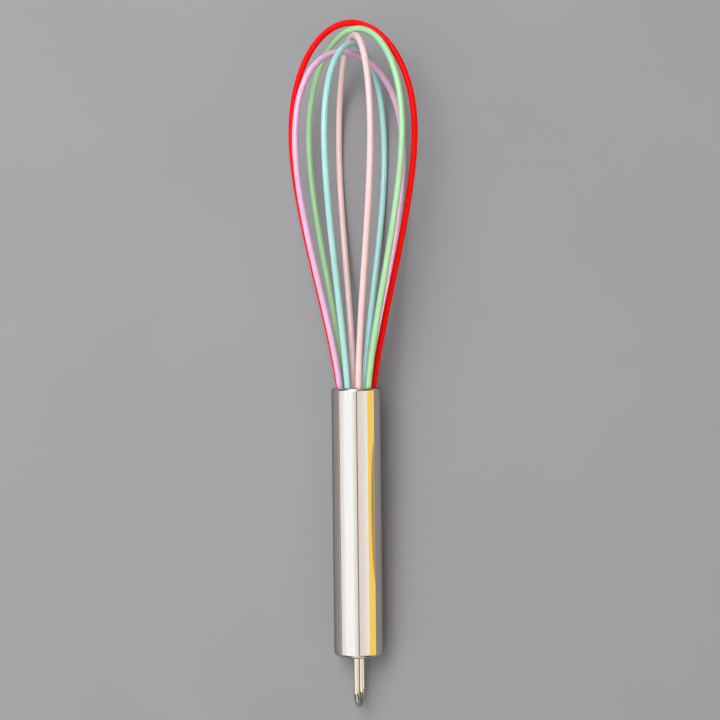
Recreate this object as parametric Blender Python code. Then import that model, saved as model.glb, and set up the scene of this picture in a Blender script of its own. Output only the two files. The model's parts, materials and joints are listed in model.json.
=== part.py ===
"""Balloon whisk: five silicone covered wire loops held in a tubular steel handle.

The whisk is drawn on its own axis: +Y runs from the handle's mouth towards the tip, +X to the
right and +Z up. An empty, whisk_axis, then lays it down as it rests on a table, on the tail
shoulder of the handle and on the two lowest loop legs, with the tip towards +Y.
"""
import math

import bmesh
import bpy
from mathutils import Vector
from mathutils.geometry import interpolate_bezier

MM = 0.001
GAP = 0.3 * MM

# Handle: a rolled tube, stations measured back from the mouth
HANDLE_RADIUS = 9.25 * MM
HANDLE_WALL = 0.6 * MM
HANDLE_LENGTH = 99.0 * MM
HANDLE_BORE = HANDLE_RADIUS - HANDLE_WALL
MOUTH_ROLL = 0.9 * MM
MOUTH_LIP_RADIUS = 8.1 * MM
TAIL_ROLL = 1.3 * MM

# Loops: sleeved wire, ten legs at even angles in the mouth
SLEEVE_RADIUS = 1.17 * MM
SLEEVE_WALL = 0.3 * MM
WIRE_RADIUS = 0.6 * MM
MOUTH_PITCH_RADIUS = 6.44 * MM
MOUTH_FIRST_ANGLE = 2.55
MOUTH_STEP_ANGLE = 36.0
LEG_SPLAY = math.radians(7.8)
BALLOON_RADIUS = 24.22 * MM
MOUTH_HANDLE = 30.0 * MM
WAIST_HANDLE_BACK = 27.2 * MM
WAIST_HANDLE_FORE = 24.26 * MM
APEX_HANDLE = 12.46 * MM
LEG_STEPS = 7
CROWN_STEPS = 9
SLEEVE_BEVEL = 2
WIRE_BEVEL = 1

# One line for each loop, from the outermost at the tip to the innermost: colour name, angle of
# its first and second leg at the waist, station of the waist, station and offset of the crown,
# and how far its second leg stands out compared with the balloon's radius
LOOPS = [
    ("red", 14.0, 185.3, 95.0 * MM, 135.9 * MM, -1.3 * MM, 0.986),
    ("green", 35.2, 217.0, 95.1 * MM, 133.4 * MM, 0.1 * MM, 1.0),
    ("pink", 67.3, 248.6, 92.8 * MM, 130.8 * MM, 0.0 * MM, 1.0095),
    ("aqua", 107.1, 291.3, 90.9 * MM, 127.6 * MM, 1.5 * MM, 1.0034),
    ("violet", 142.6, 312.8, 90.0 * MM, 124.9 * MM, -2.0 * MM, 1.005),
]

# Wire ends inside the handle: stations behind the mouth
SLEEVE_END = 7.3 * MM
WIRE_KINK = 16.0 * MM
HOOK_STATION = 35.2 * MM
HOOK_BEND = 0.9 * MM
HOOK_REACH = 2.6 * MM
WIRE_CHANNEL_RADIUS = 0.95 * MM
SLEEVE_BORE_RADIUS = 1.46 * MM

# Mouth plug, its seal, the cast resin and the anchor plate
PLUG_FRONT = 1.6 * MM
PLUG_BACK = 14.0 * MM
SEAL_STATION = 9.4 * MM
SEAL_SECTION = 0.6 * MM
SEAL_RADIUS = 7.8 * MM
SLEEVE_SEAT = 7.6 * MM
RESIN_BACK = 32.0 * MM
ANCHOR_THICKNESS = 1.5 * MM

# Tail: cap, seal, backing plate, ferrules and hanging loop
LOOP_WIRE_RADIUS = 1.1 * MM
LOOP_LEG_OFFSET = 5.6 * MM
LOOP_TIP = 118.5 * MM
LOOP_LEG_END = 88.0 * MM
LOOP_TURN = math.radians(2.0)
LOOP_BEND_STEPS = 10
LOOP_BEVEL = 3
LEG_HOLE_RADIUS = 1.42 * MM
CAP_DISC_THICKNESS = 0.9 * MM
CAP_FLANGE_THICKNESS = 1.5 * MM
CAP_SKIRT_END = 92.0 * MM
CAP_SKIRT_WALL = 0.6 * MM
TAIL_SEAL_THICKNESS = 1.0 * MM
BACKING_THICKNESS = 1.2 * MM
FERRULE_LENGTH = 4.0 * MM
FERRULE_RADIUS = 2.1 * MM

# How the whisk lies: tipped forward on to its loops, and set down on the middle of its footprint
TILT = math.radians(4.485)
REST_SHIFT = Vector((0.108, -9.274, 16.862)) * MM

ROUND_SIDES = 32
BORE_SIDES = 12
CUTTER_RUNOUT = 5.0 * MM
FINE_CUTTER_BEVEL = 3
COARSE_CUTTER_BEVEL = 1


def clear_scene():
    """Remove every object so the script gives the same model each time."""
    for old in list(bpy.data.objects):
        bpy.data.objects.remove(old, do_unlink=True)


def make_material(name, colour, roughness, metallic):
    """A plain Principled material with the part's own colour."""
    material = bpy.data.materials.new(name)
    material.use_nodes = True
    shader = material.node_tree.nodes["Principled BSDF"]
    shader.inputs["Base Color"].default_value = (*colour, 1.0)
    shader.inputs["Roughness"].default_value = roughness
    shader.inputs["Metallic"].default_value = metallic
    return material


def add_object(name, mesh, axis, material=None):
    """Put a mesh in the scene, on the whisk's axis."""
    part = bpy.data.objects.new(name, mesh)
    bpy.context.scene.collection.objects.link(part)
    part.parent = axis
    if material:
        mesh.materials.clear()
        mesh.materials.append(material)
        mesh.shade_smooth()
        mesh.set_sharp_from_angle(angle=math.radians(35.0))
    return part


def revolve(name, profile, sides=ROUND_SIDES):
    """Turn a profile of (radius, station) points about the Y axis into one closed body."""
    shape = bmesh.new()
    points = [shape.verts.new((radius, station, 0.0)) for radius, station in profile]
    on_axis = profile[0][0] == 0.0
    pairs = list(zip(points, points[1:]))
    if not on_axis:
        pairs.append((points[-1], points[0]))
    edges = [shape.edges.new(pair) for pair in pairs]
    bmesh.ops.spin(shape, geom=points + edges, axis=(0.0, 1.0, 0.0), cent=(0.0, 0.0, 0.0),
                   angle=math.tau, steps=sides, use_merge=True)
    bmesh.ops.remove_doubles(shape, verts=shape.verts, dist=0.01 * MM)
    bmesh.ops.recalc_face_normals(shape, faces=shape.faces)
    mesh = bpy.data.meshes.new(name)
    shape.to_mesh(mesh)
    shape.free()
    return mesh


def arc(centre, radius, start, end, steps):
    """Points (radius, station) of an arc in a turned profile, angles in degrees."""
    angles = [math.radians(start + (end - start) * i / steps) for i in range(steps + 1)]
    return [(centre[0] + radius * math.cos(a), centre[1] + radius * math.sin(a)) for a in angles]


def sweep(name, path, radius, sides_setting, caps=True, wall=0.0):
    """A round bar, or with a wall a tube, along a list of points."""
    curve = bpy.data.curves.new(name, "CURVE")
    curve.dimensions = "3D"
    curve.bevel_depth = radius
    curve.bevel_resolution = sides_setting
    curve.use_fill_caps = caps
    spline = curve.splines.new("POLY")
    spline.points.add(len(path) - 1)
    for knot, point in zip(spline.points, path):
        knot.co = (*point, 1.0)
    guide = bpy.data.objects.new(name + "_path", curve)
    bpy.context.scene.collection.objects.link(guide)
    if wall:
        shell = guide.modifiers.new("wall", "SOLIDIFY")
        shell.thickness = wall
        shell.offset = -1.0
    view = bpy.context.evaluated_depsgraph_get()
    mesh = bpy.data.meshes.new_from_object(guide.evaluated_get(view))
    mesh.name = name
    bpy.data.objects.remove(guide, do_unlink=True)
    bpy.data.curves.remove(curve)
    shape = bmesh.new()
    shape.from_mesh(mesh)
    bmesh.ops.remove_doubles(shape, verts=shape.verts, dist=0.01 * MM)
    bmesh.ops.recalc_face_normals(shape, faces=shape.faces)
    shape.to_mesh(mesh)
    shape.free()
    return mesh


def cut(part, cutters, axis):
    """Take a list of closed meshes out of a part."""
    for mesh in cutters:
        tool = add_object(part.name + "_cutter", mesh, axis)
        tool.hide_render = True
        tool.display_type = "WIRE"
        boolean = part.modifiers.new("hole", "BOOLEAN")
        boolean.operation = "DIFFERENCE"
        boolean.object = tool


def radial(angle, radius, station):
    """A point at an angle about the whisk's axis."""
    return Vector((radius * math.cos(angle), station, radius * math.sin(angle)))


def pitch_radius(station):
    """Distance of a splayed leg from the axis, at a station behind the mouth."""
    return MOUTH_PITCH_RADIUS - station * math.tan(LEG_SPLAY)


def mouth_angles(index):
    """Angles of a loop's two legs in the mouth."""
    first = math.radians(MOUTH_FIRST_ANGLE + MOUTH_STEP_ANGLE * index)
    return first, first + math.pi


def loop_path(index):
    """Centre line of a loop from mouth to mouth, over the crown."""
    _, first, second, waist, crown, offset, reach = LOOPS[index]
    ends = []
    for mouth, side, radius in zip(mouth_angles(index), (first, second),
                                   (BALLOON_RADIUS, BALLOON_RADIUS * reach)):
        start = radial(mouth, MOUTH_PITCH_RADIUS, 0.0)
        outward = radial(mouth, math.sin(LEG_SPLAY), math.cos(LEG_SPLAY))
        ends.append((start, outward, radial(math.radians(side), radius, waist)))
    (start_a, out_a, waist_a), (start_b, out_b, waist_b) = ends
    along = Vector((0.0, 1.0, 0.0))
    across = (waist_b - waist_a).normalized()
    top = Vector((offset, crown, 0.0))
    up_a = interpolate_bezier(start_a, start_a + out_a * MOUTH_HANDLE,
                              waist_a - along * WAIST_HANDLE_BACK, waist_a, LEG_STEPS + 1)
    over_a = interpolate_bezier(waist_a, waist_a + along * WAIST_HANDLE_FORE,
                                top - across * APEX_HANDLE, top, CROWN_STEPS + 1)
    over_b = interpolate_bezier(top, top + across * APEX_HANDLE,
                                waist_b + along * WAIST_HANDLE_FORE, waist_b, CROWN_STEPS + 1)
    down_b = interpolate_bezier(waist_b, waist_b - along * WAIST_HANDLE_BACK,
                                start_b + out_b * MOUTH_HANDLE, start_b, LEG_STEPS + 1)
    return up_a + over_a[1:] + over_b[1:] + down_b[1:]


def wire_end(angle):
    """A wire's route behind the mouth: splayed, then straight, then hooked outwards."""
    inner = pitch_radius(WIRE_KINK)
    bend = interpolate_bezier(radial(angle, inner, HOOK_BEND - HOOK_STATION),
                              radial(angle, inner, -HOOK_STATION),
                              radial(angle, inner, -HOOK_STATION),
                              radial(angle, inner + HOOK_BEND, -HOOK_STATION), 4)
    return [radial(angle, inner, -WIRE_KINK)] + bend + [radial(angle, inner + HOOK_REACH,
                                                               -HOOK_STATION)]


def leg_cutter(angle, radius, from_station, to_station, sides_setting):
    """A round cutter along one splayed leg, between two stations behind the mouth."""
    path = [radial(angle, pitch_radius(station), -station) for station in (from_station, to_station)]
    return sweep("leg_cutter", path, radius, sides_setting)


def all_mouth_angles():
    """Angles of all ten legs in the mouth."""
    return [angle for index in range(len(LOOPS)) for angle in mouth_angles(index)]


def disc(name, radius, front, thickness):
    """A flat round disc whose front face looks towards the mouth."""
    profile = [(0.0, -front), (radius, -front), (radius, -front - thickness),
               (0.0, -front - thickness)]
    return revolve(name, profile)


def leg_offsets():
    """Where the hanging loop's two legs stand on the tail face."""
    return [LOOP_LEG_OFFSET * sign * Vector((-math.sin(LOOP_TURN), 0.0, math.cos(LOOP_TURN)))
            for sign in (1.0, -1.0)]


def leg_hole_cutters():
    """Round cutters for the hanging loop's two legs."""
    cutters = []
    for offset in leg_offsets():
        path = [offset - Vector((0.0, HANDLE_LENGTH + CUTTER_RUNOUT, 0.0)),
                offset - Vector((0.0, LOOP_LEG_END, 0.0))]
        cutters.append(sweep("leg_hole_cutter", path, LEG_HOLE_RADIUS, FINE_CUTTER_BEVEL))
    return cutters


def build_handle_tube(axis):
    """The handle: a thin tube with its mouth edge and tail edge rolled inwards."""
    mouth = (HANDLE_RADIUS - MOUTH_ROLL, -MOUTH_ROLL)
    tail = (HANDLE_RADIUS - TAIL_ROLL, TAIL_ROLL - HANDLE_LENGTH)
    profile = [(MOUTH_LIP_RADIUS, -HANDLE_WALL), (MOUTH_LIP_RADIUS, 0.0)]
    profile += arc(mouth, MOUTH_ROLL, 90.0, 0.0, 4)
    profile += arc(tail, TAIL_ROLL, 0.0, -90.0, 4)
    profile += arc(tail, TAIL_ROLL - HANDLE_WALL, -90.0, 0.0, 3)
    profile += arc(mouth, MOUTH_ROLL - HANDLE_WALL, 0.0, 90.0, 2)
    steel = make_material("polished_stainless", (0.75, 0.74, 0.72), 0.12, 1.0)
    return add_object("handle_tube", revolve("handle_tube", profile), axis, steel)


def build_mouth_plug(axis):
    """The moulded plug in the mouth, with ten splayed bores and a groove for its seal."""
    radius = HANDLE_BORE - GAP
    floor = SEAL_RADIUS - SEAL_SECTION - 0.2 * MM
    half = SEAL_SECTION + GAP
    profile = [(0.0, -PLUG_FRONT), (radius, -PLUG_FRONT), (radius, half - SEAL_STATION),
               (floor, half - SEAL_STATION), (floor, -half - SEAL_STATION),
               (radius, -half - SEAL_STATION), (radius, -PLUG_BACK), (0.0, -PLUG_BACK)]
    nylon = make_material("plug_nylon", (0.09, 0.09, 0.09), 0.55, 0.0)
    plug = add_object("mouth_plug", revolve("mouth_plug", profile), axis, nylon)
    for angle in all_mouth_angles():
        sleeve_bore = leg_cutter(angle, SLEEVE_BORE_RADIUS, 0.0, SLEEVE_SEAT, FINE_CUTTER_BEVEL)
        wire_bore = leg_cutter(angle, WIRE_CHANNEL_RADIUS, SLEEVE_SEAT - MM, WIRE_KINK - MM,
                               COARSE_CUTTER_BEVEL)
        cut(plug, (sleeve_bore, wire_bore), axis)
    return plug


def build_mouth_seal_ring(axis):
    """The ring in the plug's groove."""
    profile = arc((SEAL_RADIUS, -SEAL_STATION), SEAL_SECTION, 0.0, 315.0, 7)
    rubber = make_material("seal_rubber", (0.03, 0.03, 0.03), 0.7, 0.0)
    return add_object("mouth_seal_ring", revolve("mouth_seal_ring", profile), axis, rubber)


def build_potting_resin(axis):
    """The cast resin behind the plug, with a channel around each wire end."""
    front = PLUG_BACK + GAP
    mesh = disc("potting_resin", HANDLE_BORE - GAP, front, RESIN_BACK - front)
    resin = make_material("cast_resin", (0.55, 0.42, 0.2), 0.35, 0.0)
    potting = add_object("potting_resin", mesh, axis, resin)
    for angle in all_mouth_angles():
        route = [radial(angle, pitch_radius(PLUG_BACK - MM), MM - PLUG_BACK),
                 radial(angle, pitch_radius(WIRE_KINK), -WIRE_KINK),
                 radial(angle, pitch_radius(WIRE_KINK), -RESIN_BACK - MM)]
        channel = sweep("channel_cutter", route, WIRE_CHANNEL_RADIUS, COARSE_CUTTER_BEVEL)
        cut(potting, (channel,), axis)
    return potting


def build_wire_anchor_plate(axis):
    """The drilled disc that the wire ends are hooked behind."""
    front = RESIN_BACK + GAP
    mesh = disc("wire_anchor_plate", HANDLE_BORE - 1.5 * GAP, front, ANCHOR_THICKNESS)
    steel = make_material("anchor_steel", (0.5, 0.5, 0.5), 0.4, 1.0)
    plate = add_object("wire_anchor_plate", mesh, axis, steel)
    for angle in all_mouth_angles():
        route = [radial(angle, pitch_radius(WIRE_KINK), -RESIN_BACK),
                 radial(angle, pitch_radius(WIRE_KINK), -front - ANCHOR_THICKNESS - MM)]
        hole = sweep("hole_cutter", route, WIRE_CHANNEL_RADIUS, COARSE_CUTTER_BEVEL)
        cut(plate, (hole,), axis)
    return plate


def build_loops(axis):
    """Each loop: a silicone sleeve over a spring wire whose ends go on into the handle."""
    colours = {"red": (0.9, 0.02, 0.01), "green": (0.45, 0.79, 0.47), "pink": (0.94, 0.68, 0.67),
               "aqua": (0.48, 0.84, 0.8), "violet": (0.84, 0.6, 0.84)}
    steel = make_material("spring_steel", (0.6, 0.6, 0.58), 0.3, 1.0)
    for index, loop in enumerate(LOOPS):
        colour = loop[0]
        first, second = mouth_angles(index)
        path = loop_path(index)
        seats = [radial(angle, pitch_radius(SLEEVE_END), -SLEEVE_END) for angle in (first, second)]
        silicone = make_material("silicone_" + colour, colours[colour], 0.5, 0.0)
        sleeve = sweep("sleeve_" + colour, [seats[0]] + path + [seats[1]], SLEEVE_RADIUS,
                       SLEEVE_BEVEL, caps=False, wall=SLEEVE_WALL)
        add_object("sleeve_" + colour, sleeve, axis, silicone)
        ends = [wire_end(first)[::-1], wire_end(second)]
        wire = sweep("wire_" + colour, ends[0] + path + ends[1], WIRE_RADIUS, WIRE_BEVEL)
        add_object("wire_" + colour, wire, axis, steel)


def build_tail_cap(axis):
    """The stamped cap that closes the tail, flush with the tube's rolled edge."""
    face = HANDLE_LENGTH
    step = face - CAP_DISC_THICKNESS
    inside = step - CAP_FLANGE_THICKNESS
    disc_radius = HANDLE_RADIUS - TAIL_ROLL - GAP
    skirt = HANDLE_BORE - GAP
    profile = [(0.0, -inside), (skirt - CAP_SKIRT_WALL, -inside),
               (skirt - CAP_SKIRT_WALL, -CAP_SKIRT_END), (skirt, -CAP_SKIRT_END),
               (skirt, -step), (disc_radius, -step), (disc_radius, -face), (0.0, -face)]
    steel = make_material("cap_stainless", (0.75, 0.74, 0.72), 0.12, 1.0)
    cap = add_object("tail_cap", revolve("tail_cap", profile), axis, steel)
    cut(cap, leg_hole_cutters(), axis)
    return cap


def build_tail_stack(axis):
    """Seal disc, backing plate and two ferrules behind the cap."""
    inside = HANDLE_LENGTH - CAP_DISC_THICKNESS - CAP_FLANGE_THICKNESS
    seal_front = inside - GAP - TAIL_SEAL_THICKNESS
    plate_front = seal_front - GAP - BACKING_THICKNESS
    ferrule_front = plate_front - GAP - FERRULE_LENGTH
    radius = HANDLE_BORE - CAP_SKIRT_WALL - 2.5 * GAP
    rubber = make_material("tail_seal_rubber", (0.05, 0.05, 0.05), 0.7, 0.0)
    steel = make_material("backing_steel", (0.5, 0.5, 0.5), 0.4, 1.0)
    crimped = make_material("ferrule_steel", (0.55, 0.53, 0.5), 0.4, 1.0)
    seal = add_object("tail_seal", disc("tail_seal", radius, seal_front, TAIL_SEAL_THICKNESS),
                      axis, rubber)
    cut(seal, leg_hole_cutters(), axis)
    plate = add_object("loop_backing_plate",
                       disc("loop_backing_plate", radius, plate_front, BACKING_THICKNESS),
                       axis, steel)
    cut(plate, leg_hole_cutters(), axis)
    profile = [(LEG_HOLE_RADIUS, -ferrule_front), (FERRULE_RADIUS, -ferrule_front),
               (FERRULE_RADIUS, -ferrule_front - FERRULE_LENGTH),
               (LEG_HOLE_RADIUS, -ferrule_front - FERRULE_LENGTH)]
    for end, offset in zip(("upper", "lower"), leg_offsets()):
        name = "loop_ferrule_" + end
        ferrule = add_object(name, revolve(name, profile, sides=BORE_SIDES), axis, crimped)
        ferrule.location = offset


def build_hanging_loop(axis):
    """The bent wire eye that the whisk hangs by, with both legs through the tail cap."""
    upper, lower = leg_offsets()
    centre = Vector((0.0, LOOP_LEG_OFFSET + LOOP_WIRE_RADIUS - LOOP_TIP, 0.0))
    turns = [math.pi * i / LOOP_BEND_STEPS for i in range(LOOP_BEND_STEPS + 1)]
    bend = [centre + upper * math.cos(turn) - Vector((0.0, LOOP_LEG_OFFSET * math.sin(turn), 0.0))
            for turn in turns]
    inner = Vector((0.0, -LOOP_LEG_END, 0.0))
    path = [inner + upper] + bend + [inner + lower]
    steel = make_material("loop_stainless", (0.75, 0.74, 0.72), 0.12, 1.0)
    eye = sweep("hanging_loop", path, LOOP_WIRE_RADIUS, LOOP_BEVEL)
    return add_object("hanging_loop", eye, axis, steel)


def main():
    """Build every piece on the whisk's axis, then lay the whisk down."""
    clear_scene()
    axis = bpy.data.objects.new("whisk_axis", None)
    bpy.context.scene.collection.objects.link(axis)
    axis.rotation_euler = (TILT, 0.0, 0.0)
    axis.location = REST_SHIFT
    build_handle_tube(axis)
    build_mouth_plug(axis)
    build_mouth_seal_ring(axis)
    build_potting_resin(axis)
    build_wire_anchor_plate(axis)
    build_loops(axis)
    build_tail_cap(axis)
    build_tail_stack(axis)
    build_hanging_loop(axis)


main()
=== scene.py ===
"""Balloon whisk, finished for display: silicone sleeved loops, mirror polished steel handle.

Laid out as a Blender add-on and run as a script. Sizes and colours are properties that a user can
change, one operator makes each piece or group of like pieces, and a panel lists the operators.
"""
import json
import math

import bmesh
import bpy
from bpy.props import FloatProperty, FloatVectorProperty, PointerProperty
from mathutils import Matrix, Vector
from mathutils.geometry import interpolate_bezier

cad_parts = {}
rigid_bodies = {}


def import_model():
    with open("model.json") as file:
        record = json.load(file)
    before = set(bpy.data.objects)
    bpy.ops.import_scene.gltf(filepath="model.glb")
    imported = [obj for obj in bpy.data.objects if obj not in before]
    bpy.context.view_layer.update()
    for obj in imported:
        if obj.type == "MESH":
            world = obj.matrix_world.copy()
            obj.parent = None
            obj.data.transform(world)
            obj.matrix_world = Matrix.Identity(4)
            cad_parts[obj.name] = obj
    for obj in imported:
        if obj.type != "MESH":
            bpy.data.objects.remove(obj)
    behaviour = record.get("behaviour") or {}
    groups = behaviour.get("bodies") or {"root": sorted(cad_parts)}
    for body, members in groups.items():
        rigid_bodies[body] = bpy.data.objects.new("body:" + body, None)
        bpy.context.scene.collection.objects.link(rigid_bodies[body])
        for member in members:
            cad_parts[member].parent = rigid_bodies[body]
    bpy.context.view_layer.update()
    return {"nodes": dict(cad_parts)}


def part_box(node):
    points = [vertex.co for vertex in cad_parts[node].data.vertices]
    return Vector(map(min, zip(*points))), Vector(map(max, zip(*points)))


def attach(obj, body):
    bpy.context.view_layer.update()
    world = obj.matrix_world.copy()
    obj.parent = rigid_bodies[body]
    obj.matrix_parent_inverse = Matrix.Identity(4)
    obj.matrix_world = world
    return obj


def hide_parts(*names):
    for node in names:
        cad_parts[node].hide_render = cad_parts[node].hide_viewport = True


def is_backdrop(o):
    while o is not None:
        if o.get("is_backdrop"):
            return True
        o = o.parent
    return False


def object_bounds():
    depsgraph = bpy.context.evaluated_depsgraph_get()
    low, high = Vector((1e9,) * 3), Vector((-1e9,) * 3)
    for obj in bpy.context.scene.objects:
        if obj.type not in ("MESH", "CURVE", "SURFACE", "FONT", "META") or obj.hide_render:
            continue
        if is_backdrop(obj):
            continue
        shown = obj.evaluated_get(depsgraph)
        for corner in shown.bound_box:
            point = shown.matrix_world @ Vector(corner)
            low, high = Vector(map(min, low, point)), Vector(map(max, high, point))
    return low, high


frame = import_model()

bl_info = {
    "name": "Balloon whisk",
    "version": (1, 0, 0),
    "blender": (4, 5, 0),
    "location": "View3D > Sidebar > Whisk",
    "description": "Builds a silicone and steel balloon whisk, piece by piece",
    "category": "Add Mesh",
}

MM = 0.001

# The whisk's axis, read from two discs that sit square on it inside the handle
ANCHOR_STATION = 33.05 * MM

# One line for each loop, from the outermost at the tip to the innermost: colour name, angle of
# its first and second leg at the waist, station of the waist, station and offset of the crown,
# and how far its second leg stands out compared with the balloon's radius
LOOPS = [
    ("red", 14.0, 185.3, 95.0 * MM, 135.9 * MM, -1.3 * MM, 0.986),
    ("green", 35.2, 217.0, 95.1 * MM, 133.4 * MM, 0.1 * MM, 1.0),
    ("pink", 67.3, 248.6, 92.8 * MM, 130.8 * MM, 0.0 * MM, 1.0095),
    ("aqua", 107.1, 291.3, 90.9 * MM, 127.6 * MM, 1.5 * MM, 1.0034),
    ("violet", 142.6, 312.8, 90.0 * MM, 124.9 * MM, -2.0 * MM, 1.005),
]
MOUTH_FIRST_ANGLE = 2.55
MOUTH_STEP_ANGLE = 36.0
LEG_SPLAY = math.radians(7.8)
MOUTH_HANDLE = 30.0 * MM
WAIST_HANDLE_BACK = 27.2 * MM
WAIST_HANDLE_FORE = 24.26 * MM
APEX_HANDLE = 12.46 * MM
LEG_STEPS = 36
CROWN_STEPS = 44
SLEEVE_SIDES = 20
TURNED_SIDES = 128
BORE_SIDES = 32
EYE_SIDES = 28
EYE_BEND_STEPS = 40
MOUTH_ROLL_STEPS = 12
TAIL_ROLL_STEPS = 14
INSIDE_ROLL_STEPS = 6
CAP_EDGE_STEPS = 5
DRILLED_SHARP_ANGLE = math.radians(30.0)
SHARP_ANGLE = math.radians(40.0)
WELD_DISTANCE = 0.001 * MM

# Stations behind the mouth, and the hanging eye's turn about the axis
SLEEVE_END = 7.3 * MM
PLUG_FRONT = 1.6 * MM
PLUG_BACK = 14.0 * MM
SLEEVE_SEAT = 7.6 * MM
SEAL_STATION = 9.4 * MM
LOOP_LEG_END = 88.0 * MM
CAP_SKIRT_END = 92.0 * MM
LOOP_TURN = math.radians(2.0)

# Clearance round the pieces inside the handle, and the holes drilled through them
CLEARANCE = 0.3 * MM
SLEEVE_BORE_RADIUS = 1.46 * MM
WIRE_BORE_RADIUS = 0.95 * MM
LEG_HOLE_RADIUS = 1.42 * MM
CAP_DISC_THICKNESS = 0.9 * MM
CAP_FLANGE_THICKNESS = 1.5 * MM
CAP_SKIRT_WALL = 0.6 * MM
CUTTER_RUNOUT = 2.0 * MM

# Small edges and hollows
LIP_EDGE = 0.12 * MM
PLUG_EDGE = 0.25 * MM
SEAL_GROOVE_HALF_WIDTH = 0.9 * MM
SEAL_GROOVE_DEPTH = 1.35 * MM
COUNTERSINK = 0.3 * MM
CAP_EDGE = 0.2 * MM
CAP_DISH = 0.25 * MM
CAP_GAP = 0.06 * MM

# Camera: square on to the whisk's axis, turned about it, then slid and spun to frame the whisk
CAMERA_ROLL_ABOUT_WHISK = math.radians(8.0)
CAMERA_HEIGHT = 520.8 * MM
CAMERA_RIGHT = 1.54 * MM
CAMERA_STATION = 10.4 * MM
CAMERA_SPIN = math.radians(0.659)
CAMERA_LENS = 70.0
CAMERA_SENSOR_WIDTH = 36.0
CAMERA_CLIP_START = 10.0 * MM

# Strength of the silicone's highlight, where 0.5 is what its refraction alone gives
PASTEL_SHINE = 0.8
RED_SHINE = 0.1

# Tints of the soft panels
COOL = (0.97, 1.0, 1.0)
NEUTRAL = (1.0, 0.965, 0.94)
WARM = (1.0, 0.87, 0.785)
AMBER = (1.0, 0.64, 0.06)
OLIVE = (0.42, 0.25, 0.02)

# Edges of the soft panels that hang round the whisk like a tunnel: angle from straight at the
# camera towards the right, distance, radiance and tint. A panel grades from each edge to the next
HORIZON = ((-97.0, 0.8, 0.62, WARM), (-88.5, 0.8, 0.45, WARM))
LOW_LEFT = ((-86.0, 0.8, 1.12, WARM), (-64.0, 0.9, 1.2, NEUTRAL), (-60.0, 0.92, 1.37, COOL))
LEFT = ((-60.0, 0.92, 1.37, COOL), (-25.0, 1.0, 1.37, COOL))
TOP_LEFT = ((-25.0, 1.0, 1.37, COOL), (-16.0, 1.0, 1.2, NEUTRAL), (-1.2, 1.0, 0.98, WARM))
RIGHT = ((2.6, 1.0, 0.98, WARM), (10.0, 1.0, 1.08, WARM), (22.0, 1.0, 1.1, WARM),
         (39.0, 1.0, 1.16, NEUTRAL), (50.5, 1.0, 1.23, COOL))
AMBER_CARD = ((50.0, 0.32, 1.33, AMBER), (89.0, 0.24, 1.33, AMBER))

# Length of a panel and the station of its middle
LONG_PANEL = (1.8, 0.0)
MIDDLE_PANEL = (0.9, -0.1)
SHORT_PANEL = (0.5, -0.17)
CARD_PANEL = (0.3, -0.09)

# The card's dull patch: its middle and half size as shares of the card, and where its tone ends
PATCH_MIDDLE = (0.88, 0.57)
PATCH_REACH = (0.42, 0.15)
PATCH_EDGE = 0.12

# Square lights: the key over the balloon (angle, distance and station), one beyond each end of
# the whisk, and the four that wash the far floor
KEY_PLACE = (-20.0, 1.0, 0.5)
KEY_SIZE = 0.7
KEY_RADIANCE = 6.0
END_DISTANCE = 1.3
END_HEIGHT = 0.6
END_SIZE = 1.1
END_RADIANCE = 0.8
WASH_REACH = 2.0
WASH_HEIGHT = 1.2
WASH_SIZE = 2.4
WASH_RADIANCE = 1.15
WASH_SPREAD = 100.0

# The room: a dim fill from all round, the tone behind the floor's edge, and the floor itself
FILL_TINT = (0.93, 0.95, 1.0, 1.0)
FILL_RADIANCE = 0.1
WALL_TONE = (0.40, 0.40, 0.41, 1.0)
FLOOR_HALF_WIDTH = 3.1
FLOOR_SQUARES = 8


def linear(hex_colour):
    """An sRGB hex colour, such as #D6D2CC, as linear red, green and blue."""
    channels = [int(hex_colour[i:i + 2], 16) / 255.0 for i in (1, 3, 5)]
    return [c / 12.92 if c <= 0.04045 else ((c + 0.055) / 1.055) ** 2.4 for c in channels]


def size_property(name, description, millimetres):
    """A length that a user can change, given in millimetres."""
    return FloatProperty(name=name, description=description, default=millimetres * MM,
                         min=0.0, subtype="DISTANCE", unit="LENGTH")


def colour_property(name, description, hex_colour):
    """A colour that a user can change."""
    return FloatVectorProperty(name=name, description=description, default=linear(hex_colour),
                               size=3, min=0.0, max=1.0, subtype="COLOR")


class WhiskSizes(bpy.types.PropertyGroup):
    """Sizes of the whisk's pieces."""

    handle_radius: size_property("Handle radius", "Outer radius of the handle tube", 9.25)
    handle_length: size_property("Handle length", "Mouth to tail face", 99.0)
    handle_wall: size_property("Handle wall", "Thickness of the tube", 0.6)
    mouth_roll: size_property("Mouth roll", "Radius that the mouth edge is rolled to", 0.9)
    mouth_lip: size_property("Mouth lip", "Radius of the opening in the rolled mouth", 8.1)
    tail_roll: size_property("Tail roll", "Radius of the tail shoulder", 1.3)
    sleeve_radius: size_property("Sleeve radius", "Outer radius of the silicone", 1.17)
    sleeve_wall: size_property("Sleeve wall", "Thickness of the silicone", 0.45)
    mouth_pitch: size_property("Leg circle", "Radius of the ten legs' circle in the mouth", 6.44)
    balloon_radius: size_property("Balloon radius", "Axis to a wire at the waist", 24.22)
    eye_wire: size_property("Eye wire radius", "Radius of the hanging eye's wire", 1.1)
    eye_offset: size_property("Eye half width", "Axis to the middle of the eye's leg", 5.6)
    eye_tip: size_property("Eye tip", "Mouth to the far end of the hanging eye", 118.5)


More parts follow.
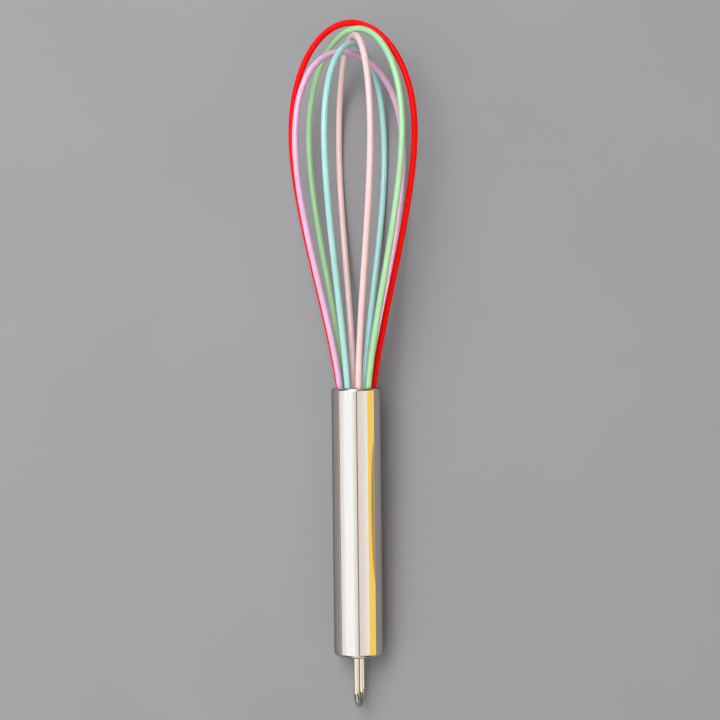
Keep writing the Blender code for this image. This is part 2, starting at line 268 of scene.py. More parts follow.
class WhiskColours(bpy.types.PropertyGroup):
    """Colours of the whisk's materials."""

    red: colour_property("Red", "Silicone of the outermost loop", "#FF0A05")
    green: colour_property("Green", "Silicone of the second loop", "#A4D8A8")
    pink: colour_property("Pink", "Silicone of the third loop", "#ECCBCD")
    aqua: colour_property("Aqua", "Silicone of the fourth loop", "#A3D8D7")
    violet: colour_property("Violet", "Silicone of the innermost loop", "#DCB2D5")
    steel: colour_property("Steel", "Polished stainless steel", "#D3D0CC")
    plug: colour_property("Plug", "Moulded nylon in the mouth", "#2B2B2A")
    paper: colour_property("Floor", "Seamless paper that the whisk lies on", "#929295")


# Materials ------------------------------------------------------------------------------------


def add_node(tree, kind, values=None, links=None, **settings):
    """Add a shader node, set its properties and socket values, and link its inputs."""
    new = tree.nodes.new(kind)
    for name, value in settings.items():
        setattr(new, name, value)
    for socket, value in (values or {}).items():
        new.inputs[socket].default_value = value
    for socket, source in (links or {}).items():
        tree.links.new(source, new.inputs[socket])
    return new


def new_material(name, values):
    """A material with one Principled shader, its uniform values set on the shader itself."""
    material = bpy.data.materials.new(name)
    material.use_nodes = True
    tree = material.node_tree
    shader = tree.nodes["Principled BSDF"]
    for socket, value in values.items():
        shader.inputs[socket].default_value = value
    return material, tree, shader


def per_mm(millimetres):
    """Noise scale, in metres, for a pattern with features this many millimetres apart."""
    return 1.0 / (millimetres * MM)


def tones(tree, source, colour, low, high, edges=(0.35, 0.65)):
    """A ramp from a darker to a lighter tone of one colour, driven by a pattern."""
    ramp = add_node(tree, "ShaderNodeValToRGB", links={"Fac": source})
    for stop, place, factor in zip(ramp.color_ramp.elements, edges, (low, high)):
        stop.position = place
        stop.color = (*[min(1.0, channel * factor) for channel in colour], 1.0)
    return ramp.outputs["Color"]


def extruded_silicone(name, colour, shine):
    """Silicone rubber extruded in a tube and cured, later pushed over the wire.

    A soft satin skin: a broad highlight, a little light carried through the pigment, faint
    lengthwise die lines, barely cloudy pigment and the odd fleck of lint that it holds. The
    full red is pigmented more heavily than the pastels and shines less.
    """
    material, tree, shader = new_material(name, {
        "IOR": 1.41, "Specular IOR Level": shine, "Subsurface Weight": 0.5,
        "Subsurface Radius": (1.0, 0.8, 0.7), "Subsurface Scale": 0.9 * MM})
    along = add_node(tree, "ShaderNodeAttribute", attribute_name="wire_place")
    place = add_node(tree, "ShaderNodeNewGeometry")
    cloud = add_node(tree, "ShaderNodeTexNoise", values={"Scale": per_mm(14.0), "Detail": 4.0},
                     links={"Vector": place.outputs["Position"]})
    tint = tones(tree, cloud.outputs["Fac"], colour, 0.97, 1.03)
    lint = add_node(tree, "ShaderNodeTexVoronoi", feature="F1", values={"Scale": per_mm(3.0)},
                    links={"Vector": place.outputs["Position"]})
    fleck = add_node(tree, "ShaderNodeMapRange",
                     values={"From Min": 0.02, "From Max": 0.05, "To Min": 0.3, "To Max": 0.0},
                     links={"Value": lint.outputs["Distance"]})
    dusted = add_node(tree, "ShaderNodeMixRGB", values={"Color2": (0.8, 0.79, 0.76, 1.0)},
                      links={"Fac": fleck.outputs["Result"], "Color1": tint})
    tree.links.new(dusted.outputs["Color"], shader.inputs["Base Color"])
    stretch = add_node(tree, "ShaderNodeMapping", values={"Scale": (0.06, 1.0, 1.0)},
                       links={"Vector": along.outputs["Vector"]})
    die = add_node(tree, "ShaderNodeTexNoise", values={"Scale": per_mm(0.35), "Detail": 2.0},
                   links={"Vector": stretch.outputs["Vector"]})
    skin = add_node(tree, "ShaderNodeTexNoise", values={"Scale": per_mm(0.25), "Detail": 4.0},
                    links={"Vector": place.outputs["Position"]})
    gloss = add_node(tree, "ShaderNodeMapRange",
                     values={"From Min": 0.3, "From Max": 0.7, "To Min": 0.25, "To Max": 0.37},
                     links={"Value": skin.outputs["Fac"]})
    tree.links.new(gloss.outputs["Result"], shader.inputs["Roughness"])
    lines = add_node(tree, "ShaderNodeBump", values={"Strength": 0.12, "Distance": 0.03 * MM},
                     links={"Height": die.outputs["Fac"]})
    bump = add_node(tree, "ShaderNodeBump", values={"Strength": 0.25, "Distance": 0.015 * MM},
                    links={"Height": skin.outputs["Fac"], "Normal": lines.outputs["Normal"]})
    tree.links.new(bump.outputs["Normal"], shader.inputs["Normal"])
    return material


def polished_stainless(name, colour, axis, roughness=0.07):
    """Stainless steel, drawn and then mirror polished along its length.

    Sharp reflections with fine lengthwise hairlines, a slow ripple left by the buffing wheel and
    a few dull smears where it has been handled.
    """
    material, tree, shader = new_material(name, {"Metallic": 1.0,
                                                 "Specular Tint": (0.5, 0.46, 0.42, 1.0)})
    place = add_node(tree, "ShaderNodeNewGeometry")
    square = add_node(tree, "ShaderNodeMapping", vector_type="TEXTURE",
                      values={"Rotation": axis.to_euler()},
                      links={"Vector": place.outputs["Position"]})
    lengthwise = add_node(tree, "ShaderNodeMapping", values={"Scale": (1.0, 0.012, 1.0)},
                          links={"Vector": square.outputs["Vector"]})
    hair = add_node(tree, "ShaderNodeTexNoise", values={"Scale": per_mm(0.16), "Detail": 4.0},
                    links={"Vector": lengthwise.outputs["Vector"]})
    slow = add_node(tree, "ShaderNodeMapping", values={"Scale": (1.0, 0.09, 1.0)},
                    links={"Vector": square.outputs["Vector"]})
    ripple = add_node(tree, "ShaderNodeTexNoise", values={"Scale": per_mm(3.0), "Detail": 1.5},
                      links={"Vector": slow.outputs["Vector"]})
    smear = add_node(tree, "ShaderNodeTexNoise",
                     values={"Scale": per_mm(9.0), "Detail": 5.0, "Roughness": 0.6,
                             "Distortion": 1.2},
                     links={"Vector": square.outputs["Vector"]})
    tint = tones(tree, hair.outputs["Fac"], colour, 0.94, 1.03)
    tree.links.new(tint, shader.inputs["Base Color"])
    dull = add_node(tree, "ShaderNodeMapRange",
                    values={"From Min": 0.55, "From Max": 0.75, "To Min": roughness,
                            "To Max": roughness + 0.12},
                    links={"Value": smear.outputs["Fac"]})
    tree.links.new(dull.outputs["Result"], shader.inputs["Roughness"])
    buffed = add_node(tree, "ShaderNodeBump", values={"Strength": 0.3, "Distance": 0.02 * MM},
                      links={"Height": ripple.outputs["Fac"]})
    bump = add_node(tree, "ShaderNodeBump", values={"Strength": 0.12, "Distance": 0.004 * MM},
                    links={"Height": hair.outputs["Fac"], "Normal": buffed.outputs["Normal"]})
    tree.links.new(bump.outputs["Normal"], shader.inputs["Normal"])
    return material


def mottled(name, colour, roughness, metallic, feature, depth, ior=1.5):
    """A plain moulded, cast or stamped surface: cloudy tone, uneven gloss and a fine grain."""
    material, tree, shader = new_material(name, {"Metallic": metallic, "IOR": ior})
    place = add_node(tree, "ShaderNodeNewGeometry")
    cloud = add_node(tree, "ShaderNodeTexNoise", values={"Scale": per_mm(feature), "Detail": 5.0},
                     links={"Vector": place.outputs["Position"]})
    grain = add_node(tree, "ShaderNodeTexNoise", values={"Scale": per_mm(0.15), "Detail": 2.0},
                     links={"Vector": place.outputs["Position"]})
    tree.links.new(tones(tree, cloud.outputs["Fac"], colour, 0.85, 1.15),
                   shader.inputs["Base Color"])
    gloss = add_node(tree, "ShaderNodeMapRange",
                     values={"To Min": roughness - 0.08, "To Max": roughness + 0.08},
                     links={"Value": grain.outputs["Fac"]})
    tree.links.new(gloss.outputs["Result"], shader.inputs["Roughness"])
    bump = add_node(tree, "ShaderNodeBump", values={"Strength": 0.4, "Distance": depth},
                    links={"Height": grain.outputs["Fac"]})
    tree.links.new(bump.outputs["Normal"], shader.inputs["Normal"])
    return material


def seamless_paper(colour):
    """Matt card: an even pale tone with a barely visible tooth."""
    material, tree, shader = new_material("seamless_paper", {"IOR": 1.45,
                                                             "Specular IOR Level": 0.2})
    place = add_node(tree, "ShaderNodeNewGeometry")
    cloud = add_node(tree, "ShaderNodeTexNoise", values={"Scale": per_mm(60.0), "Detail": 4.0},
                     links={"Vector": place.outputs["Position"]})
    tooth = add_node(tree, "ShaderNodeTexNoise", values={"Scale": per_mm(0.8), "Detail": 3.0},
                     links={"Vector": place.outputs["Position"]})
    tree.links.new(tones(tree, cloud.outputs["Fac"], colour, 0.985, 1.015),
                   shader.inputs["Base Color"])
    gloss = add_node(tree, "ShaderNodeMapRange", values={"To Min": 0.75, "To Max": 0.85},
                     links={"Value": tooth.outputs["Fac"]})
    tree.links.new(gloss.outputs["Result"], shader.inputs["Roughness"])
    bump = add_node(tree, "ShaderNodeBump", values={"Strength": 0.1, "Distance": 0.03 * MM},
                    links={"Height": tooth.outputs["Fac"]})
    tree.links.new(bump.outputs["Normal"], shader.inputs["Normal"])
    return material


# Shapes ---------------------------------------------------------------------------------------


def node_centre(node):
    """Middle of a CAD node's box."""
    low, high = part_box(node)
    return (low + high) / 2


def whisk_axis():
    """Matrix from the whisk's own axis (mouth at zero, tip along +Y) to the row frame."""
    plate = node_centre("wire_anchor_plate")
    along = (plate - node_centre("tail_seal")).normalized()
    right = Vector((1.0, 0.0, 0.0))
    mouth = plate + along * ANCHOR_STATION
    return Matrix.Translation(mouth) @ Matrix((right, along, right.cross(along))).transposed().to_4x4()


def radial(angle, radius, station):
    """A point at an angle about the whisk's axis."""
    return Vector((radius * math.cos(angle), station, radius * math.sin(angle)))


def arc(centre, radius, start, end, steps):
    """Points (radius, station) of an arc in a turned profile, angles in degrees."""
    angles = [math.radians(start + (end - start) * i / steps) for i in range(steps + 1)]
    return [(centre[0] + radius * math.cos(a), centre[1] + radius * math.sin(a)) for a in angles]


def mouth_angles(index):
    """Angles of a loop's two legs in the mouth."""
    first = math.radians(MOUTH_FIRST_ANGLE + MOUTH_STEP_ANGLE * index)
    return first, first + math.pi


def loop_path(index, sizes):
    """Centre line of a loop from its seat in the plug, over the crown, to its other seat."""
    _, first, second, waist, crown, offset, reach = LOOPS[index]
    ends = []
    seats = []
    for mouth, side, radius in zip(mouth_angles(index), (first, second),
                                   (sizes.balloon_radius, sizes.balloon_radius * reach)):
        start = radial(mouth, sizes.mouth_pitch, 0.0)
        outward = radial(mouth, math.sin(LEG_SPLAY), math.cos(LEG_SPLAY))
        seats.append(start - outward * (SLEEVE_END / math.cos(LEG_SPLAY)))
        ends.append((start, outward, radial(math.radians(side), radius, waist)))
    (start_a, out_a, waist_a), (start_b, out_b, waist_b) = ends
    along = Vector((0.0, 1.0, 0.0))
    across = (waist_b - waist_a).normalized()
    top = Vector((offset, crown, 0.0))
    up_a = interpolate_bezier(start_a, start_a + out_a * MOUTH_HANDLE,
                              waist_a - along * WAIST_HANDLE_BACK, waist_a, LEG_STEPS + 1)
    over_a = interpolate_bezier(waist_a, waist_a + along * WAIST_HANDLE_FORE,
                                top - across * APEX_HANDLE, top, CROWN_STEPS + 1)
    over_b = interpolate_bezier(top, top + across * APEX_HANDLE,
                                waist_b + along * WAIST_HANDLE_FORE, waist_b, CROWN_STEPS + 1)
    down_b = interpolate_bezier(waist_b, waist_b - along * WAIST_HANDLE_BACK,
                                start_b + out_b * MOUTH_HANDLE, start_b, LEG_STEPS + 1)
    return [seats[0]] + up_a + over_a[1:] + over_b[1:] + down_b[1:] + [seats[1]]


def frames_along(path):
    """Place, two cross directions and distance run, for each point of a path, without twist."""
    frames = []
    tangent = (path[1] - path[0]).normalized()
    side = tangent.orthogonal().normalized()
    run = 0.0
    for i, point in enumerate(path):
        before = path[max(i - 1, 0)]
        after = path[min(i + 1, len(path) - 1)]
        heading = (after - before).normalized()
        side = tangent.rotation_difference(heading) @ side
        tangent = heading
        run += (point - before).length
        frames.append((point, side.copy(), tangent.cross(side), run))
    return frames


def swept(name, path, radius, sides, wall=0.0):
    """A round bar along a path, or with a wall a tube, that remembers its place along the wire."""
    shape = bmesh.new()
    place = shape.verts.layers.float_vector.new("wire_place")
    skins = []
    for reach in (radius, radius - wall) if wall else (radius,):
        rings = []
        for point, side, other, run in frames_along(path):
            ring = []
            for i in range(sides):
                turn = math.tau * i / sides
                vert = shape.verts.new(point + (side * math.cos(turn) + other * math.sin(turn)) * reach)
                vert[place] = (run, math.cos(turn) * reach, math.sin(turn) * reach)
                ring.append(vert)
            rings.append(ring)
        skins.append(rings)
        for ring, following in zip(rings, rings[1:]):
            for i in range(sides):
                j = (i + 1) % sides
                shape.faces.new((ring[i], ring[j], following[j], following[i]))
    for end in (0, -1):
        if wall:
            outer, inner = skins[0][end], skins[1][end]
            for i in range(sides):
                j = (i + 1) % sides
                shape.faces.new((outer[i], outer[j], inner[j], inner[i]))
        else:
            shape.faces.new(skins[0][end])
    bmesh.ops.recalc_face_normals(shape, faces=shape.faces)
    return shape_to_mesh(name, shape)


def shape_to_mesh(name, shape):
    """Turn a finished bmesh into smooth shaded mesh data."""
    mesh = bpy.data.meshes.new(name)
    shape.to_mesh(mesh)
    shape.free()
    mesh.shade_smooth()
    mesh.set_sharp_from_angle(angle=SHARP_ANGLE)
    return mesh


def turned(name, profile, sides=TURNED_SIDES):
    """Turn a profile of (radius, station) points about the Y axis into one closed body."""
    shape = bmesh.new()
    points = [shape.verts.new((radius, station, 0.0)) for radius, station in profile]
    pairs = list(zip(points, points[1:]))
    if profile[0][0] > 0.0:
        pairs.append((points[-1], points[0]))
    edges = [shape.edges.new(pair) for pair in pairs]
    bmesh.ops.spin(shape, geom=points + edges, axis=(0.0, 1.0, 0.0), cent=(0.0, 0.0, 0.0),
                   angle=math.tau, steps=sides, use_merge=True)
    bmesh.ops.remove_doubles(shape, verts=shape.verts, dist=WELD_DISTANCE)
    bmesh.ops.recalc_face_normals(shape, faces=shape.faces)
    return shape_to_mesh(name, shape)


def drilled(mesh, cutters):
    """Take round cutters out of a mesh, as the drill or the mould's pins would."""
    scene = bpy.context.scene
    blank = bpy.data.objects.new(mesh.name, mesh)
    scene.collection.objects.link(blank)
    tools = []
    for cutter, matrix in cutters:
        tool = bpy.data.objects.new("drill", cutter)
        scene.collection.objects.link(tool)
        tool.matrix_world = matrix
        tools.append(tool)
        hole = blank.modifiers.new("hole", "BOOLEAN")
        hole.operation = "DIFFERENCE"
        hole.object = tool
    bpy.context.view_layer.update()
    view = bpy.context.evaluated_depsgraph_get()
    result = bpy.data.meshes.new_from_object(blank.evaluated_get(view))
    result.materials.clear()
    for tool in tools + [blank]:
        bpy.data.objects.remove(tool, do_unlink=True)
    result.shade_smooth()
    result.set_sharp_from_angle(angle=DRILLED_SHARP_ANGLE)
    return result


def place_piece(name, mesh, material, slot, *nodes):
    """Put a piece on the whisk's axis, in place of CAD nodes, riding on the whisk."""
    mesh.transform(whisk_axis())
    piece = bpy.data.objects.new(name, mesh)
    bpy.context.scene.collection.objects.link(piece)
    mesh.materials.append(material)
    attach(piece, "root")
    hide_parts(*nodes)


# Operators ------------------------------------------------------------------------------------


class WHISK_OT_handle(bpy.types.Operator):
    """Make the polished handle tube, its mouth edge and tail shoulder rolled inwards"""

    bl_idname = "whisk.handle"
    bl_label = "Handle tube"

    def execute(self, context):
        sizes = context.scene.whisk_sizes
        mouth = (sizes.handle_radius - sizes.mouth_roll, -sizes.mouth_roll)
        tail = (sizes.handle_radius - sizes.tail_roll, sizes.tail_roll - sizes.handle_length)
        wall = sizes.handle_wall
        lip = sizes.mouth_lip
        profile = [(lip, LIP_EDGE - wall), (lip, -LIP_EDGE), (lip + LIP_EDGE, 0.0)]
        profile += arc(mouth, sizes.mouth_roll, 90.0, 0.0, MOUTH_ROLL_STEPS)
        profile += arc(tail, sizes.tail_roll, 0.0, -90.0, TAIL_ROLL_STEPS)
        profile += arc(tail, sizes.tail_roll - wall, -90.0, 0.0, INSIDE_ROLL_STEPS)
        profile += arc(mouth, sizes.mouth_roll - wall, 0.0, 90.0, INSIDE_ROLL_STEPS)
        profile.append((lip + LIP_EDGE, -wall))
        steel = polished_stainless("mirror_polished_stainless_tube",
                                   context.scene.whisk_colours.steel, whisk_axis())
        place_piece("handle_tube_polished", turned("handle_tube_polished", profile), steel,
                    "polished_stainless", "handle_tube")
        return {"FINISHED"}


class WHISK_OT_loops(bpy.types.Operator):
    """Make the five silicone sleeved loops"""

    bl_idname = "whisk.loops"
    bl_label = "Silicone loops"

    def execute(self, context):
        sizes = context.scene.whisk_sizes
        for index, loop in enumerate(LOOPS):
            colour = loop[0]
            silicone = extruded_silicone("extruded_silicone_" + colour,
                                         getattr(context.scene.whisk_colours, colour),
                                         RED_SHINE if colour == "red" else PASTEL_SHINE)
            mesh = swept("loop_" + colour, loop_path(index, sizes), sizes.sleeve_radius,
                         SLEEVE_SIDES, sizes.sleeve_wall)
            place_piece("loop_" + colour, mesh, silicone, "silicone_" + colour,
                        "sleeve_" + colour)
        return {"FINISHED"}


class WHISK_OT_hanging_eye(bpy.types.Operator):
    """Make the bent wire eye that the whisk hangs by"""

    bl_idname = "whisk.hanging_eye"
    bl_label = "Hanging eye"

    def execute(self, context):
        sizes = context.scene.whisk_sizes
        upper = sizes.eye_offset * Vector((-math.sin(LOOP_TURN), 0.0, math.cos(LOOP_TURN)))
        centre = Vector((0.0, sizes.eye_offset + sizes.eye_wire - sizes.eye_tip, 0.0))
        bend = [centre + upper * math.cos(math.pi * i / EYE_BEND_STEPS)
                - Vector((0.0, sizes.eye_offset * math.sin(math.pi * i / EYE_BEND_STEPS), 0.0))
                for i in range(EYE_BEND_STEPS + 1)]
        inner = Vector((0.0, -LOOP_LEG_END, 0.0))
        path = [inner + upper] + bend + [inner - upper]
        steel = polished_stainless("mirror_polished_stainless_wire",
                                   context.scene.whisk_colours.steel, whisk_axis())
        place_piece("hanging_eye_polished",
                    swept("hanging_eye", path, sizes.eye_wire, EYE_SIDES), steel,
                    "polished_stainless", "hanging_loop")
        return {"FINISHED"}


class WHISK_OT_mouth_plug(bpy.types.Operator):
    """Make the moulded plug in the mouth, with a countersunk bore for each of the ten legs"""

    bl_idname = "whisk.mouth_plug"
    bl_label = "Mouth plug"

    def execute(self, context):
        sizes = context.scene.whisk_sizes
        radius = sizes.handle_radius - sizes.handle_wall - CLEARANCE
        groove = radius - SEAL_GROOVE_DEPTH
        groove_front = SEAL_GROOVE_HALF_WIDTH - SEAL_STATION
        groove_back = -SEAL_GROOVE_HALF_WIDTH - SEAL_STATION
        profile = [(0.0, -PLUG_FRONT), (radius - PLUG_EDGE, -PLUG_FRONT),
                   (radius, -PLUG_FRONT - PLUG_EDGE), (radius, groove_front),
                   (groove, groove_front), (groove, groove_back), (radius, groove_back),
                   (radius, -PLUG_BACK), (0.0, -PLUG_BACK)]
        sunk = SLEEVE_BORE_RADIUS + COUNTERSINK
        seat = PLUG_FRONT - SLEEVE_SEAT
        far_end = PLUG_FRONT - PLUG_BACK - CUTTER_RUNOUT
        bore = [(0.0, CUTTER_RUNOUT), (sunk + CUTTER_RUNOUT, CUTTER_RUNOUT), (sunk, 0.0),
                (SLEEVE_BORE_RADIUS, -COUNTERSINK), (SLEEVE_BORE_RADIUS, seat),
                (WIRE_BORE_RADIUS, seat), (WIRE_BORE_RADIUS, far_end), (0.0, far_end)]
        cutter = turned("bore", bore, BORE_SIDES)
        cutters = []
        for index in range(len(LOOPS)):
            for angle in mouth_angles(index):
                reach = sizes.mouth_pitch - PLUG_FRONT * math.tan(LEG_SPLAY)
                middle = Matrix.Translation(radial(angle, reach, -PLUG_FRONT))
                lean = Matrix.Rotation(-angle, 4, "Y") @ Matrix.Rotation(-LEG_SPLAY, 4, "Z")
                cutters.append((cutter, middle @ lean))
        nylon = mottled("moulded_nylon", context.scene.whisk_colours.plug, 0.5, 0.0, 2.0,
                        0.02 * MM, 1.53)
        place_piece("mouth_plug_moulded", drilled(turned("mouth_plug", profile), cutters), nylon,
                    "moulded_nylon", "mouth_plug")
        return {"FINISHED"}


class WHISK_OT_tail_cap(bpy.types.Operator):
    """Make the pressed cap that closes the tail, with a hole for each leg of the eye"""

    bl_idname = "whisk.tail_cap"
    bl_label = "Tail cap"

    def execute(self, context):
        sizes = context.scene.whisk_sizes
        face = sizes.handle_length
        step = face - CAP_DISC_THICKNESS
        inside = step - CAP_FLANGE_THICKNESS
        skirt = sizes.handle_radius - sizes.handle_wall - CLEARANCE
        disc_radius = sizes.handle_radius - sizes.tail_roll - CAP_GAP
        rim = disc_radius - 3 * CAP_EDGE
        profile = [(0.0, -inside), (skirt - CAP_SKIRT_WALL, -inside),
                   (skirt - CAP_SKIRT_WALL, -CAP_SKIRT_END), (skirt, -CAP_SKIRT_END),
                   (skirt, -step), (disc_radius, -step), (disc_radius, CAP_EDGE - face)]
        profile += arc((disc_radius - CAP_EDGE, CAP_EDGE - face), CAP_EDGE, 0.0, -90.0,
                       CAP_EDGE_STEPS)[1:]
        profile += [(rim, -face), (rim - 2 * CAP_EDGE, CAP_DISH - face), (0.0, CAP_DISH - face)]
        leg = Vector((-math.sin(LOOP_TURN), 0.0, math.cos(LOOP_TURN))) * sizes.eye_offset
        inner_end = CUTTER_RUNOUT - inside
        outer_end = -face - CUTTER_RUNOUT
        drill = turned("leg_hole", [(0.0, inner_end), (LEG_HOLE_RADIUS, inner_end),
                                    (LEG_HOLE_RADIUS, outer_end), (0.0, outer_end)], BORE_SIDES)
        cutters = [(drill, Matrix.Translation(leg * sign)) for sign in (1.0, -1.0)]
        steel = polished_stainless("pressed_stainless_cap", context.scene.whisk_colours.steel,
                                   whisk_axis(), 0.12)
        place_piece("tail_cap_pressed", drilled(turned("tail_cap", profile), cutters), steel,
                    "polished_stainless", "tail_cap")
        return {"FINISHED"}


class WHISK_OT_inner_parts(bpy.types.Operator):
    """Give the wires, the seals and the other parts inside their materials"""

    bl_idname = "whisk.inner_parts"
    bl_label = "Inner parts"

    def execute(self, context):
        rubber = mottled("moulded_nitrile_rubber", linear("#1B1B1B"), 0.7, 0.0, 1.5, 0.02 * MM)
        epoxy = mottled("cast_epoxy", linear("#9C7C45"), 0.3, 0.0, 4.0, 0.01 * MM, 1.55)
        plate = mottled("stamped_steel", linear("#9A9894"), 0.42, 1.0, 3.0, 0.02 * MM)
        wire = mottled("drawn_spring_wire", linear("#A8A49E"), 0.3, 1.0, 2.0, 0.01 * MM)
        finishes = {"mouth_seal_ring": rubber, "tail_seal": rubber, "potting_resin": epoxy,
                    "wire_anchor_plate": plate, "loop_backing_plate": plate,
                    "loop_ferrule_upper": plate, "loop_ferrule_lower": plate}
        finishes.update({"wire_" + loop[0]: wire for loop in LOOPS})
        for node, material in finishes.items():
            part = frame["nodes"][node]
            part.data.materials.clear()
            part.data.materials.append(material)
        return {"FINISHED"}


def camera_axis():
    """The whisk's axis turned about itself so that its Z looks at the camera."""
    return whisk_axis() @ Matrix.Rotation(CAMERA_ROLL_ABOUT_WHISK, 4, "Y")


def section_point(angle, distance, station=0.0):
    """A point in the camera axis's frame, its angle turning from the camera to the right."""
    turn = math.radians(angle)
    return Vector((distance * math.sin(turn), station, distance * math.cos(turn)))


def soft_panel(name, first, second, length, middle):
    """A rectangular light along the whisk, between two lines of its tunnel of panels.

    Each line is (angle, distance, radiance, tint), and the light grades from the one to the
    other. Radiance is what a mirror would show of it.
    """
    ends = [section_point(angle, distance, middle) for angle, distance, _, _ in (first, second)]
    across = ends[1] - ends[0]
    centre = (ends[0] + ends[1]) / 2
    facing = across.cross(Vector((0.0, 1.0, 0.0))).normalized()
    if facing.dot(centre) < 0.0:
        facing = -facing
    peak = max(first[2], second[2])
    light = bpy.data.lights.new(name, "AREA")
    light.shape = "RECTANGLE"
    light.size = across.length
    light.size_y = length
    light.energy = peak * math.pi * across.length * length
    light.use_nodes = True
    tree = light.node_tree
    spot = add_node(tree, "ShaderNodeNewGeometry")
    width = add_node(tree, "ShaderNodeSeparateXYZ", links={"Vector": spot.outputs["Parametric"]})
    grade = add_node(tree, "ShaderNodeValToRGB", links={"Fac": width.outputs["X"]})
    for stop, (_, _, radiance, tint) in zip(grade.color_ramp.elements, (first, second)):
        stop.color = (*[channel * radiance / peak for channel in tint], 1.0)
    tree.links.new(grade.outputs["Color"], tree.nodes["Emission"].inputs["Color"])
    lamp = bpy.data.objects.new(name, light)
    bpy.context.scene.collection.objects.link(lamp)
    sideways = across.normalized()
    turn = Matrix((sideways, facing.cross(sideways), facing)).transposed().to_4x4()
    lamp.matrix_world = camera_axis() @ Matrix.Translation(centre) @ turn
    lamp.visible_camera = False
    return lamp


def amber_card():
    """A small amber panel low on the right, with a dull patch that narrows to its ends.

    It lights the whisk only, so the floor keeps its own tone.
    """
    lamp = soft_panel("amber_card", *AMBER_CARD, *CARD_PANEL)
    whisk = bpy.data.collections.new("whisk_only")
    for piece in bpy.context.scene.objects:
        if piece.type == "MESH" and piece.name != "floor":
            whisk.objects.link(piece)
    lamp.light_linking.receiver_collection = whisk
    tree = lamp.data.node_tree
    spot = add_node(tree, "ShaderNodeNewGeometry")
    scale = [1.0 / reach for reach in PATCH_REACH]
    shift = [-middle * factor for middle, factor in zip(PATCH_MIDDLE, scale)]
    patch = add_node(tree, "ShaderNodeMapping",
                     values={"Location": (*shift, 0.0), "Scale": (*scale, 1.0)},
                     links={"Vector": spot.outputs["Parametric"]})
    inside = add_node(tree, "ShaderNodeTexGradient", gradient_type="SPHERICAL",
                      links={"Vector": patch.outputs["Vector"]})
    shades = add_node(tree, "ShaderNodeValToRGB", links={"Fac": inside.outputs["Fac"]})
    for stop, place, tint in zip(shades.color_ramp.elements, (0.0, PATCH_EDGE), (AMBER, OLIVE)):
        stop.position = place
        stop.color = (*tint, 1.0)
    tree.links.new(shades.outputs["Color"], tree.nodes["Emission"].inputs["Color"])


def square_light(name, place, size, radiance, spread=180.0, back=None):
    """A square soft light that looks at the whisk, or away from the direction of its back."""
    light = bpy.data.lights.new(name, "AREA")
    light.shape = "SQUARE"
    light.size = size
    light.spread = math.radians(spread)
    light.energy = radiance * math.pi * size * size
    lamp = bpy.data.objects.new(name, light)
    bpy.context.scene.collection.objects.link(lamp)
    turn = (back or place).to_track_quat("Z", "Y").to_matrix().to_4x4()
    lamp.matrix_world = Matrix.Translation(place) @ turn
    lamp.visible_camera = False


def wash_far_floor():
    """Four lights straight down on the floor's far corners, with little spill on the whisk."""
    for number, (side, end) in enumerate(((-1, -1), (1, -1), (-1, 1), (1, 1)), 1):
        place = Vector((side * WASH_REACH, end * WASH_REACH, WASH_HEIGHT))
        square_light(f"floor_wash_{number}", place, WASH_SIZE, WASH_RADIANCE, WASH_SPREAD,
                     Vector((0.0, 0.0, 1.0)))


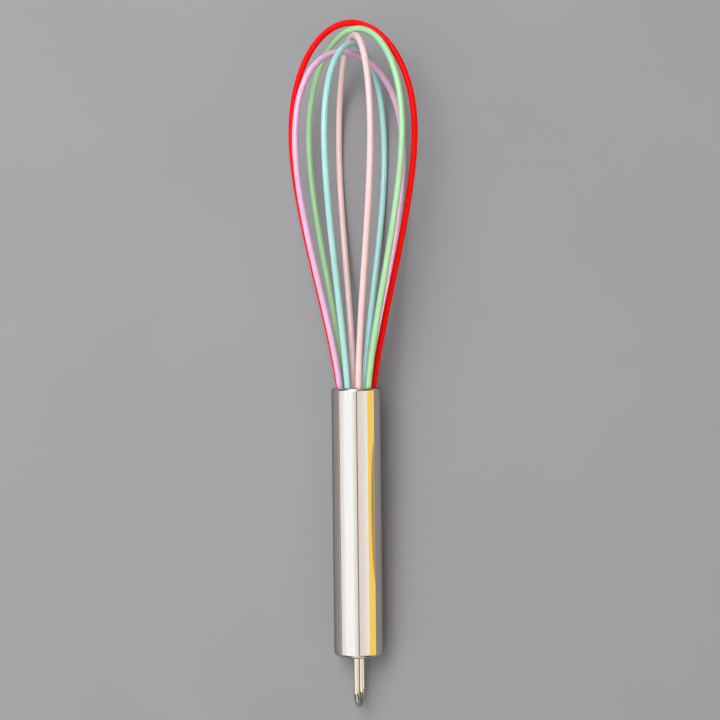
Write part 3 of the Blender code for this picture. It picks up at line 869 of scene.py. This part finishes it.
class WHISK_OT_stage(bpy.types.Operator):
    """Lay the pale floor, set the soft lights round the whisk and place the camera"""

    bl_idname = "whisk.stage"
    bl_label = "Floor, lights and camera"

    def execute(self, context):
        scene = context.scene
        self.lay_floor(scene)
        self.set_lights(scene)
        self.place_camera(scene)
        return {"FINISHED"}

    def lay_floor(self, scene):
        """A wide flat sheet just under the whisk's lowest point."""
        low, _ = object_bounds()
        shape = bmesh.new()
        bmesh.ops.create_grid(shape, x_segments=FLOOR_SQUARES, y_segments=FLOOR_SQUARES,
                              size=FLOOR_HALF_WIDTH)
        floor = bpy.data.objects.new("floor", shape_to_mesh("floor", shape))
        scene.collection.objects.link(floor)
        floor.location.z = low.z
        floor.data.materials.append(seamless_paper(scene.whisk_colours.paper))
        floor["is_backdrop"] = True

    def set_lights(self, scene):
        """A tunnel of soft panels with a narrow gap straight above, and the square lights."""
        for side, edges, size in (("horizon", HORIZON, SHORT_PANEL), ("left", LEFT, MIDDLE_PANEL),
                                  ("low_left", LOW_LEFT, SHORT_PANEL),
                                  ("right", RIGHT, SHORT_PANEL),
                                  ("top_left", TOP_LEFT, LONG_PANEL)):
            for number, (first, second) in enumerate(zip(edges, edges[1:]), 1):
                soft_panel(f"{side}_panel_{number}", first, second, *size)
        amber_card()
        key = camera_axis() @ section_point(*KEY_PLACE)
        square_light("key_light", key, KEY_SIZE, KEY_RADIANCE)
        for name, station in (("tail_end_light", -END_DISTANCE), ("tip_end_light", END_DISTANCE)):
            square_light(name, Vector((0.0, station, END_HEIGHT)), END_SIZE, END_RADIANCE)
        wash_far_floor()
        world = bpy.data.worlds.new("studio")
        world.use_nodes = True
        tree = world.node_tree
        fill = tree.nodes["Background"]
        fill.inputs["Color"].default_value = FILL_TINT
        fill.inputs["Strength"].default_value = FILL_RADIANCE
        wall = add_node(tree, "ShaderNodeBackground", values={"Color": WALL_TONE})
        seen = add_node(tree, "ShaderNodeLightPath")
        pick = add_node(tree, "ShaderNodeMixShader",
                        links={0: seen.outputs["Is Camera Ray"], 1: fill.outputs["Background"],
                               2: wall.outputs["Background"]})
        tree.links.new(pick.outputs["Shader"], tree.nodes["World Output"].inputs["Surface"])
        scene.world = world
        scene.view_settings.view_transform = "Standard"

    def place_camera(self, scene):
        """A long lens looking square on to the whisk's axis."""
        lens = bpy.data.cameras.new("camera")
        lens.lens = CAMERA_LENS
        lens.sensor_width = CAMERA_SENSOR_WIDTH
        lens.clip_start = CAMERA_CLIP_START
        camera = bpy.data.objects.new("camera", lens)
        scene.collection.objects.link(camera)
        camera.matrix_world = (camera_axis()
                               @ Matrix.Translation((CAMERA_RIGHT, CAMERA_STATION, CAMERA_HEIGHT))
                               @ Matrix.Rotation(-CAMERA_SPIN, 4, "Z"))
        scene.camera = camera


class WHISK_PT_panel(bpy.types.Panel):
    """Lists the operators that build the whisk"""

    bl_idname = "WHISK_PT_panel"
    bl_label = "Balloon whisk"
    bl_space_type = "VIEW_3D"
    bl_region_type = "UI"
    bl_category = "Whisk"

    def draw(self, context):
        column = self.layout.column()
        for operator in OPERATORS:
            column.operator(operator.bl_idname)
        for group in (context.scene.whisk_sizes, context.scene.whisk_colours):
            for name in group.bl_rna.properties.keys():
                if name not in ("rna_type", "name"):
                    column.prop(group, name)


OPERATORS = (WHISK_OT_handle, WHISK_OT_loops, WHISK_OT_hanging_eye, WHISK_OT_mouth_plug,
             WHISK_OT_tail_cap, WHISK_OT_inner_parts, WHISK_OT_stage)
CLASSES = (WhiskSizes, WhiskColours, *OPERATORS, WHISK_PT_panel)


def register():
    """Register the classes and hang the properties on the scene."""
    for item in CLASSES:
        bpy.utils.register_class(item)
    bpy.types.Scene.whisk_sizes = PointerProperty(type=WhiskSizes)
    bpy.types.Scene.whisk_colours = PointerProperty(type=WhiskColours)


def unregister():
    """Take the properties and the classes away again."""
    del bpy.types.Scene.whisk_sizes
    del bpy.types.Scene.whisk_colours
    for item in reversed(CLASSES):
        bpy.utils.unregister_class(item)


def main():
    """Build the whole whisk."""
    register()
    bpy.ops.whisk.handle()
    bpy.ops.whisk.loops()
    bpy.ops.whisk.hanging_eye()
    bpy.ops.whisk.mouth_plug()
    bpy.ops.whisk.tail_cap()
    bpy.ops.whisk.inner_parts()
    bpy.ops.whisk.stage()


if __name__ == "__main__":
    main()
